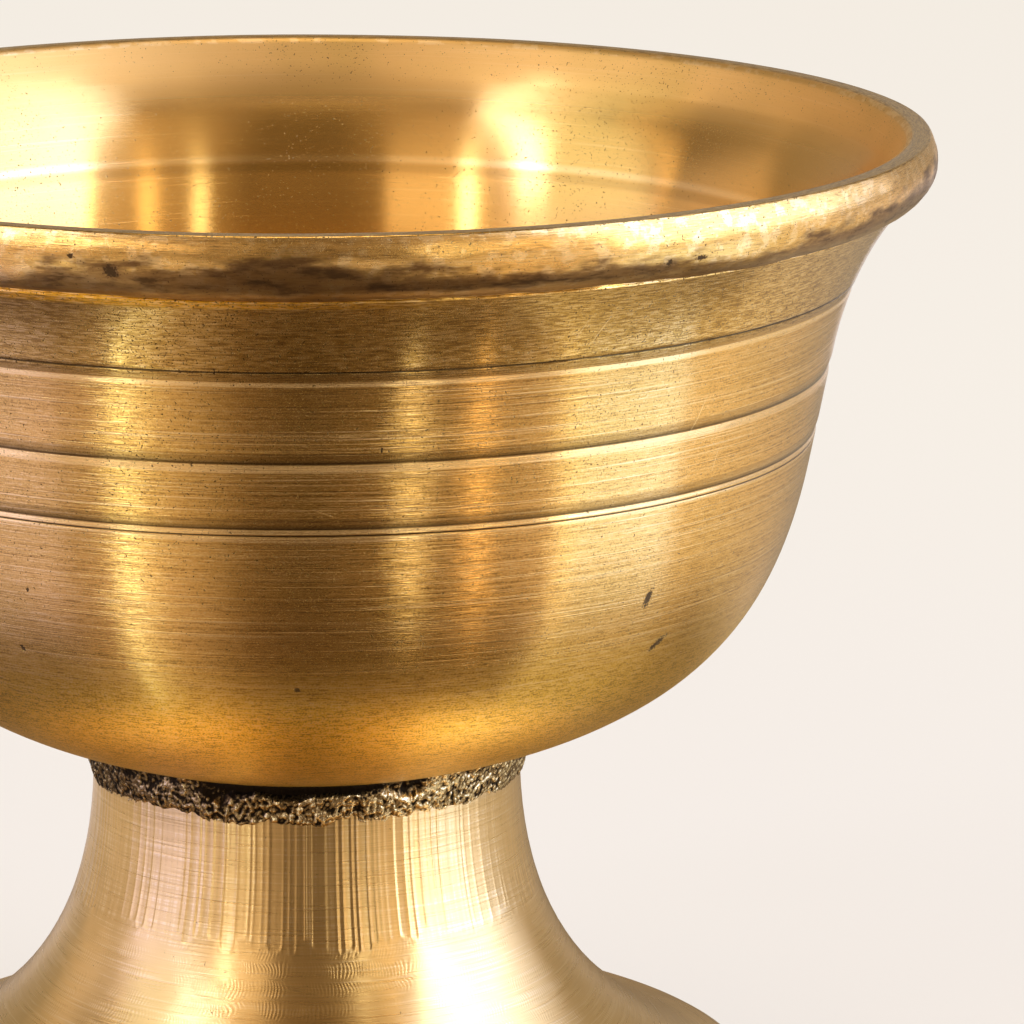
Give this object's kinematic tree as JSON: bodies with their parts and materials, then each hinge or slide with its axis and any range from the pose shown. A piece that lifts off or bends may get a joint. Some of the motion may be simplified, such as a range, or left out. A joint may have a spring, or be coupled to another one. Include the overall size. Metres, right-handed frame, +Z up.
{
  "type": "butter lamp",
  "caption": "Cast and turned brass butter lamp: a flared cup with a thick rounded rim and turned grooves, soldered to a hollow bell-shaped foot. Burns butter or oil on an upright wick.",
  "frame": {"origin": "centre of the ring that the foot stands on", "axes": "+Z up along the axis that the bowl and the foot are turned about; the lamp is round, so X and Y are free"},
  "size_m": [0.08, 0.08, 0.0665],
  "materials": {
    "bowl_brass": "turned, worn and lightly tarnished",
    "foot_brass": "hand scraped and turned",
    "seam_solder": "dark rough solder"
  },
  "bodies": {
    "root": {"bowl": "bowl_brass", "foot": "foot_brass", "solder_seam": "seam_solder"}
  },
  "joints": []
}
